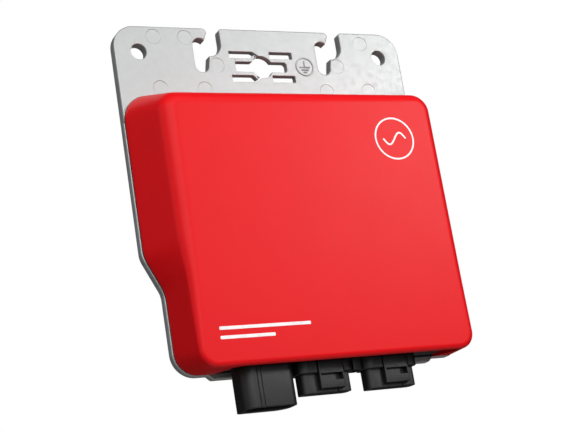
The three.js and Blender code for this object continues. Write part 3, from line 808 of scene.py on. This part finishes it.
def tongue_seam(point):
    """The rounding of the keyhole's rim: none where a tongue grows out of the plate."""
    offset = abs(TOP - point[1] - KEYHOLE_DEPTH)
    at_root = abs(point[0] - TONGUE_START) < 0.1 and offset < SLIT_NEAR + 0.1
    return 0.0 if at_root else 0.3


def nearest_on(loop, points):
    """The places on the closed loop nearest to the points."""
    a, b = loop[None], np.roll(loop, -1, 0)[None]
    points = points[:, None]
    share = np.sum((points - a) * (b - a), 2) / np.maximum(np.sum((b - a) ** 2, 2), 1e-12)
    places = a + np.clip(share, 0, 1)[:, :, None] * (b - a)
    best = np.argmin(np.sum((places - points) ** 2, 2), 1)
    return places[np.arange(len(best)), best]


def plate_rim():
    """Rings up the plate's side. Beside the cover the rim is lowered, as a seat for the gasket."""
    loop = wound(plate_outline(), True)
    lowered = TOP - loop[:, 1] > SEAT_START
    raised_edge = nearest_on(foot_inset(2.3), loop)
    rings = fillet_rings(loop, 0, GASKET_SEAT, 0.4, RIM_RADIUS)[:-1]
    quarter = np.radians(np.linspace(0, 90, FILLET_STEPS + 1))
    for k in range(len(rings) - len(quarter), len(rings)):
        # above the seat's start the side goes on straight, to the fillet at the plate's face
        points, height = rings[k]
        rings[k] = (np.where(lowered[:, None], points, loop), height)
    face_rounding = [(RIM_RADIUS * (1 - math.cos(a)), RIM_RADIUS * (1 - math.sin(a))) for a in quarter]
    face_rounding.append((RIM_RADIUS + HOLD, 0.0))
    for k, (inset, below) in enumerate(face_rounding):
        seat = drawn_in(loop, RIM_RADIUS) if k == 0 else raised_edge
        seat_height = GASKET_SEAT if k < 2 else PLATE_THICKNESS - below
        points = np.where(lowered[:, None], seat, drawn_in(loop, inset))
        rings.append((points, np.where(lowered, seat_height, PLATE_THICKNESS - below)))
    return rings


def gasket_groove():
    """The groove along the cover's upper edge, to cut with."""
    low, high = GASKET_SEAT + 0.05, PLATE_THICKNESS + 1
    return prism("cutter", foot_inset(-0.1), [foot_inset(2.0)], low, high, (0.0, 0.0))


def screw_hole(x, depth):
    """Rings up a screw's hole: the room for its head at the back, then the way of its thread."""
    floor, softened = SCREW["head_front"] + GAP, 0.15
    radii = SCREW["head_radius"] + 0.7, SCREW["radius"] + 0.5
    head, thread = (wound(hanging(circle(x, depth, radius, 40)), False) for radius in radii)
    rings = fillet_rings(head, 0, floor, softened, 0)[:-1]
    return rings + fillet_rings(thread, floor, PLATE_THICKNESS, 0, softened)[1:]


def mounting_plate():
    slits = [slit_outline(side) for side in (-1, 1)]
    holes = [hanging(circle(s * CORNER_HOLE_X, CORNER_HOLE_DEPTH, CORNER_HOLE_RADIUS, 56)) for s in (-1, 1)]
    fillets = [(tongue_seam, tongue_seam)] + [(0.3, 0.3)] * 2 + [(0.3, 0.4)] * 2
    rings = [plate_rim()]
    for loop, radii in zip([keyhole_outline(), *slits, *holes], fillets):
        rings.append(fillet_rings(wound(loop, False), 0, PLATE_THICKNESS, *radii))
    rings.extend(screw_hole(*place) for place in SCREW_PLACES)
    plate = walled("mounting_plate", rings)
    web = plain_prism(hanging(rounded(rectangle(*WEB, 3), 8)), -1, PLATE_THICKNESS - WEB_THICKNESS)
    marks = [ejector_mark(*place) for place in EJECTOR_PLACES]
    return boolean(plate, [joined([web, *marks]), gasket_groove()])


def foot_inset(inset):
    return drawn_in(wound(cover_outline(0.0, 8), True), inset)


def cover_gasket():
    return prism("gasket", foot_inset(0.3), [foot_inset(1.7)], GASKET_SEAT + 0.1, PLATE_THICKNESS, (0.2, 0.2))


piece(mounting_plate(), "cast_mounting_plate", "cast_plate", replaces=["mounting_plate"])
piece(cover_gasket(), "cover_gasket_ring", "seal_rubber", replaces=["cover_gasket"])


BEND_LENGTH = 6.0  # the stretch beside its root over which a tongue bends


def snap_tongue(side):
    bend = np.linspace(TONGUE_START, TONGUE_START + BEND_LENGTH, 7)
    loop = hanging(rounded([
        *((x, KEYHOLE_DEPTH + side * SLIT_NEAR, 0.0) for x in bend),
        (-8.8, KEYHOLE_DEPTH + side * SLIT_NEAR, 0.6), (-6.5, KEYHOLE_DEPTH + side * 7.9, 0.5),
        (-4.4, KEYHOLE_DEPTH + side * 6.6, 0.4), (-6.9, KEYHOLE_DEPTH + side * 5.1, 0.5),
        (-8.3, KEYHOLE_DEPTH + side * ARM_HALF_HEIGHT, 0.5),
        *((x, KEYHOLE_DEPTH + side * ARM_HALF_HEIGHT, 0.0) for x in bend[::-1]),
    ], 4))
    radius = lambda p: 0.0 if p[0] < TONGUE_START + 0.05 else 0.25
    return prism("tongue", loop, [], PLATE_THICKNESS - WEB_THICKNESS, PLATE_THICKNESS, (radius, radius))


for side, word in ((-1, "upper"), (1, "lower")):
    tongue = piece(snap_tongue(side), f"{word}_tongue_spring", "cast_plate", None, [f"{word}_snap_tongue"])
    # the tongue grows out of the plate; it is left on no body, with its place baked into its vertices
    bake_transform(tongue)


# ------------------------------------------------------------------ marks on the plate and the cover
def band(points, width):
    """The outline of a band of that width along an open row of points."""
    points = np.array(points, float)
    ahead = unit(np.gradient(points, axis=0))
    side = np.stack([-ahead[:, 1], ahead[:, 0]], 1) * width / 2
    return np.concatenate([points - side, (points + side)[::-1]])


def earth_mark():
    """The cast earth mark: a raised ring round a stem with three bars under it."""
    x, depth, line = 26.4, 23.2, 0.9
    radius, low, high, rims = 6.1, PLATE_THICKNESS - 0.1, PLATE_THICKNESS + 0.5, (0.0, 0.2)
    outer, inner = hanging(circle(x, depth, radius)), hanging(circle(x, depth, radius - line))
    ring = prism("ring", outer, [inner], low, high, rims)
    bars = [(x - line / 2, x + line / 2, depth - 3.8, depth)]
    for k, half in enumerate((3.4, 2.3, 1.1)):
        upper = depth + 1.6 * k
        bars.append((x - half, x + half, upper, upper + line))
    solids = [prism("bar", hanging(rounded(rectangle(*bar, 0.15), 3)), [], low, high, rims) for bar in bars]
    return joined([ring, *solids])


def cover_print(loop, holes=()):
    """A thin layer of paint on the face."""
    return prism("print", loop, list(holes), DEPTH - 0.05, DEPTH + 0.04, (0.0, 0.02))


def ring_print():
    """A thin ring with one wave across it."""
    x, depth, radius, line = 56.0, 83.5, 13.0, 1.0
    ring = cover_print(hanging(circle(x, depth, radius, 96)), [hanging(circle(x, depth, radius - line, 96))])
    along = np.linspace(-7.5, 7.5, 49)
    wave = np.stack([x + along, depth - 3.6 * np.sin(along / 7.5 * math.pi)], 1)
    return joined([ring, cover_print(hanging(band(wave, line)))])


def stripe_print():
    """Two plain stripes, the lower one shorter."""
    stripes = (rectangle(-72.0, -18.0, 188.0, 189.8, 0.5), rectangle(-72.0, -40.0, 193.0, 194.8, 0.5))
    return joined([cover_print(hanging(rounded(stripe, 4))) for stripe in stripes])


# the mark takes the darker grey: painted shade for its raised rims
piece(earth_mark(), "earth_mark_relief", "cast_plate", material="mark_painted_shade")
piece(ring_print(), "ring_print", "red_cover", material="print_white")
piece(stripe_print(), "stripe_print", "red_cover", material="print_white")


# ------------------------------------------------------------------ cover screws
def lobed(x, depth, radius, steps=72):
    """A six-lobed outline."""
    angles = np.linspace(0, 2 * math.pi, steps, endpoint=False)
    reach = radius * (1 + 0.13 * np.cos(6 * angles))
    return hanging(np.stack([x + reach * np.cos(angles), depth + reach * np.sin(angles)], 1))


def cover_screw(x, depth):
    """A pan-head screw put in from the back, its shank inside the cover's boss."""
    back, front, radius = -SCREW["head_back"], -SCREW["head_front"], SCREW["head_radius"]
    rim = [(radius - 0.9 * (1 - math.sin(a)), back - 0.9 * (1 - math.cos(a)))
           for a in np.radians(np.linspace(0, 90, 7))]
    shank, tip = SCREW["radius"], -SCREW["tip"]
    profile = [(0, back), (radius - 1.1, back), *rim, (radius, front + 0.3), (radius - 0.3, front)]
    profile += [(shank + 0.2, front), (shank, front - 0.2)]
    threads = np.arange(front - 2.0, tip + 1.0, -0.8)
    for start in threads:
        profile += [(shank, start), (shank - 0.3, start - 0.4)]
    profile += [(shank, tip + 0.8), (shank - 0.7, tip), (0, tip)]
    screw = turned("screw", profile, (x, 0, TOP - depth), "Y", 48)
    drive = plain_prism(lobed(x, depth, 1.9), SCREW["head_back"] - 1, SCREW["head_back"] + 1.7)
    return boolean(screw, [drive])


for k, (x, depth) in enumerate(SCREW_PLACES, 1):
    piece(cover_screw(x, depth), f"lobed_cover_screw_{k}", "screw_steel", replaces=[f"cover_screw_{k}"])


# ------------------------------------------------------------------ connectors
def socket_outline(c, grow, steps=10):
    """The connector's plan outline, grown by `grow`: the two front corners, then the two at the back."""
    x0, x1 = c["x"] - c["half_width"] - grow, c["x"] + c["half_width"] + grow
    y0, y1 = -c["front"] - c["half_depth"] - grow, -c["front"] + c["half_depth"] + grow
    r0, r1, r2, r3 = (max(radius + grow, 0.5) for radius in c["corners"])
    return rounded([(x0, y0, r0), (x1, y0, r1), (x1, y1, r2), (x0, y1, r3)], steps)


def socket_bore(c):
    """The plug's room in a shroud, with a flared mouth to cut with."""
    flare = 0.6
    steps = (
        (-c["wall"], UNDER_PANEL - 1), (-c["wall"], c["bottom"] - flare),
        (-c["wall"] + flare, c["bottom"]), (-c["wall"] + 2 * flare, c["bottom"] + flare),
    )
    return lofted("cutter", [(socket_outline(c, grow), depth) for grow, depth in steps], level)


def dc_shroud(c):
    body = prism("shroud", socket_outline(c, 0), [], UNDER_PANEL, c["bottom"], (0.2, 0.5), level)
    floor = c["front"] + c["half_depth"] - 0.5
    cutters = [
        box(c["x"] + x, c["x"] + x + 0.7, floor, floor + 1, UNDER_PANEL - 1, c["bottom"] + 1)
        for x in GROOVES
    ]
    return boolean(body, [socket_bore(c), *cutters])


def ac_shroud(c):
    """The shroud with a collar at its root, and a frame on its front with a bar that a plug latches on."""
    body = prism("shroud", socket_outline(c, 0), [], COLLAR_BOTTOM - 1, c["bottom"], (0.2, 0.4), level)
    plan = socket_outline(c, COLLAR_GROWTH)
    collar = prism("collar", plan, [], UNDER_PANEL, COLLAR_BOTTOM, (0.2, 0.5), level)
    face = c["front"] + c["half_depth"]
    left, right = c["x"] + LATCH["left"], c["x"] + LATCH["right"]
    plan = rounded([
        (left, -face - LATCH["proud"], 0.5), (right, -face - LATCH["proud"], 0.5),
        (right, -face + 0.5, 0), (left, -face + 0.5, 0),
    ], 5)
    latch = prism("latch", plan, [], UNDER_PANEL + 0.05, LATCH["bar_bottom"], (0.1, 0.35), level)
    top, bar_top, front = LATCH["window_top"], LATCH["bar_top"], face + LATCH["proud"] + 1
    pocket, window_right = c["x"] + LATCH["pocket"], right - LATCH["leg"]
    floor = face + LATCH["floor"]
    window = box(left + LATCH["leg"], window_right, floor, front, top, bar_top)
    groove = box(left + LATCH["leg"] + 0.4, pocket + 1, floor - 1.2, front, top + 0.05, top + 1.0)
    latch = boolean(latch, [window, groove])
    recess = box(pocket, window_right - 0.05, face - LATCH["pocket_depth"], front, top, bar_top)
    under_bar = LATCH["bar_bottom"] + 0.3
    notch = box(c["x"] + 5.6, c["x"] + 6.8, face - 0.9, face + 1, under_bar, c["bottom"] + 1)
    channel = box(left - 1.7, left, face - 1.1, face + 1, COLLAR_BOTTOM + 0.1, LATCH["bar_bottom"] + 0.4)
    slits = [
        box(left - 0.7, left, face + 0.6, front, UNDER_PANEL - 1, COLLAR_BOTTOM + 1),
        box(right, right + 0.4, face + 1.4, front, UNDER_PANEL - 1, COLLAR_BOTTOM + 1),
    ]
    collar = boolean(collar, slits)
    shroud = boolean(body, [collar, latch], "UNION")
    return boolean(shroud, [socket_bore(c), recess, notch, channel])


def pin_carrier(c):
    """The insulator that holds the pins: a disc with a raised ring round each pin, and a neck."""
    bores = [circle(c["x"] + x, -c["front"], c["pin_radius"] + GAP, 24) for x in c["pins"]]
    disc_outline = socket_outline(c, -c["wall"] - GAP)
    disc = prism("carrier", disc_outline, bores, UNDER_PANEL, CARRIER_FOOT, (0.1, 0.25), level)
    neck_outline = socket_outline(c, -c["wall"] - NECK_INSET)
    neck = prism("neck", neck_outline, bores, PANEL_TOP - 3, UNDER_PANEL + 1, (0.3, 0.0), level)
    return boolean(disc, [neck], "UNION")


def contact_pin(c, x):
    root, tip, radius = PANEL_TOP - 4.5, c["pin_tip"], c["pin_radius"]
    angles = np.radians(np.linspace(0, 85, 9))
    nose = [(radius * math.cos(a), tip - radius * (1 - math.sin(a))) for a in angles]
    profile = [(0, root), (radius - 0.2, root), (radius, root + 0.2), *nose, (0, tip)]
    centre = (c["x"] + x, -c["front"], TOP)
    return turned("pin", [(r, -depth) for r, depth in profile], centre, "Z", 32)


def face_seal(c):
    outer, inner = socket_outline(c, -c["wall"] - GAP), socket_outline(c, -c["wall"] - GAP - 0.8)
    return prism("seal", outer, [inner], CARRIER_FOOT + GAP, CARRIER_FOOT + 1.8, (0.25, 0.35), level)


def connector_panel():
    outline = rounded([
        (PANEL_LEFT, -PANEL_FRONT, PANEL_CORNER), (PANEL_RIGHT, -PANEL_FRONT, PANEL_CORNER),
        (PANEL_RIGHT, -FOOT - GAP, 0), (PANEL_LEFT, -FOOT - GAP, 0),
    ], 12)
    holes = [socket_outline(c, GAP - c["wall"] - NECK_INSET) for c in CONNECTORS]
    panel = prism("panel", outline, holes, PANEL_TOP, PANEL_BOTTOM, (0.4, 0.8), level)
    reach = AC["half_width"] + COLLAR_GROWTH + GAP
    x0, x1 = AC_LEFT["x"] + reach, AC_RIGHT["x"] - reach
    plan = rounded(rectangle(x0, x1, -LEDGE[1], -LEDGE[0], 0.6), 5)
    ledge = prism("ledge", plan, [], PANEL_BOTTOM - 1, COLLAR_BOTTOM, (0.1, 0.5), level)
    return boolean(panel, [ledge], "UNION")


piece(connector_panel(), "connector_bay_panel", "black_plastic", replaces=["connector_panel"])
for c in CONNECTORS:
    kind, suffix = c["name"], c["suffix"]
    shroud = dc_shroud(c) if kind == "dc" else ac_shroud(c)
    piece(shroud, f"{kind}_socket_housing{suffix}", "black_plastic",
          replaces=[f"{kind}_connector_shroud{suffix}"])
    piece(pin_carrier(c), f"{kind}_insulator{suffix}", "black_plastic",
          replaces=[f"{kind}_pin_carrier{suffix}"])
    piece(face_seal(c), f"{kind}_seal_ring{suffix}", "seal_rubber", replaces=[f"{kind}_face_seal{suffix}"])
    for k, x in enumerate(c["pins"], 1):
        piece(contact_pin(c, x), f"{kind}_contact{suffix}_{k}", "contact_brass",
              replaces=[f"{kind}_pin{suffix}_{k}"])


# ------------------------------------------------------------------ camera, floor and light
CAMERA_PLACE = (-0.3754, -0.7201, -0.23035)  # metres
FLOOR_RADIUS = 1500
FLOOR_HEIGHT = -1.25  # metres, well below the part


def make_camera():
    data = bpy.data.cameras.new("camera")
    data.sensor_width = 36.0
    data.lens = 88.96
    camera = bpy.data.objects.new("camera", data)
    bpy.context.scene.collection.objects.link(camera)
    right = Vector((0.8925, -0.4222, -0.1586))
    upward = Vector((0.0256, -0.3037, 0.9524))
    backward = Vector((-0.4503, -0.8541, -0.2602))
    rotation = Matrix((right, upward, backward)).transposed()
    camera.matrix_world = Matrix.Translation(CAMERA_PLACE) @ rotation.to_4x4()
    bpy.context.scene.camera = camera


def make_floor():
    loop = circle(0, 0, FLOOR_RADIUS, 96)
    mesh = bpy.data.meshes.new("floor")
    mesh.from_pydata([(x * MM, y * MM, FLOOR_HEIGHT) for x, y in loop], [], [list(range(len(loop)))])
    floor = bpy.data.objects.new("floor", mesh)
    bpy.context.scene.collection.objects.link(floor)
    s = Surface("floor_paint", 0.8)
    dark, light = shades(linear(232, 231, 229), 0.97, 1.02)
    s.mottle(s.noise(200, 3), dark, light)
    mesh.materials.append(s.material)


def area_light(name, around, above, distance, size, power):
    """A soft light aimed at the origin, placed by two angles in degrees: around from straight ahead
    towards the right, and above the level."""
    a, e = math.radians(around), math.radians(above)
    place = distance * Vector((math.sin(a) * math.cos(e), -math.cos(a) * math.cos(e), math.sin(e)))
    data = bpy.data.lights.new(name, "AREA")
    data.shape = "RECTANGLE"
    data.size, data.size_y = size
    data.energy = power
    light = bpy.data.objects.new(name, data)
    bpy.context.scene.collection.objects.link(light)
    light.location = place
    light.rotation_euler = (-place).to_track_quat("-Z", "Y").to_euler()


def make_light():
    world = bpy.data.worlds.new("studio")
    bpy.context.scene.world = world
    world.use_nodes = True
    nodes, links = world.node_tree.nodes, world.node_tree.links
    lit = nodes["Background"]
    lit.inputs["Color"].default_value = (1, 1, 1, 1)
    lit.inputs["Strength"].default_value = 0.02
    seen = nodes.new("ShaderNodeBackground")
    seen.inputs["Color"].default_value = (1, 1, 1, 1)
    seen.inputs["Strength"].default_value = 1.0
    path = nodes.new("ShaderNodeLightPath")
    mixer = nodes.new("ShaderNodeMixShader")
    links.new(path.outputs["Is Camera Ray"], mixer.inputs[0])
    links.new(lit.outputs[0], mixer.inputs[1])
    links.new(seen.outputs[0], mixer.inputs[2])
    links.new(mixer.outputs[0], nodes["World Output"].inputs["Surface"])
    area_light("front", 0, 10, 1.8, (1.6, 1.6), 10.2)
    area_light("upper_left", -30, 30, 1.8, (1.6, 1.6), 22.0)
    area_light("top", 15, 55, 0.7, (0.3, 0.3), 0.5)
    area_light("left", -60, 10, 1.8, (1.6, 1.6), 3.4)
    area_light("far_left", -100, 20, 1.6, (1.0, 1.2), 2.5)
    area_light("right", 39, 18, 1.1, (0.3, 0.3), 4.9)
    area_light("back", 160, 20, 1.9, (0.8, 0.8), 12.0)


make_camera()
make_floor()
make_light()
bpy.context.scene.view_settings.view_transform = "Standard"
bpy.context.scene.view_settings.look = "None"
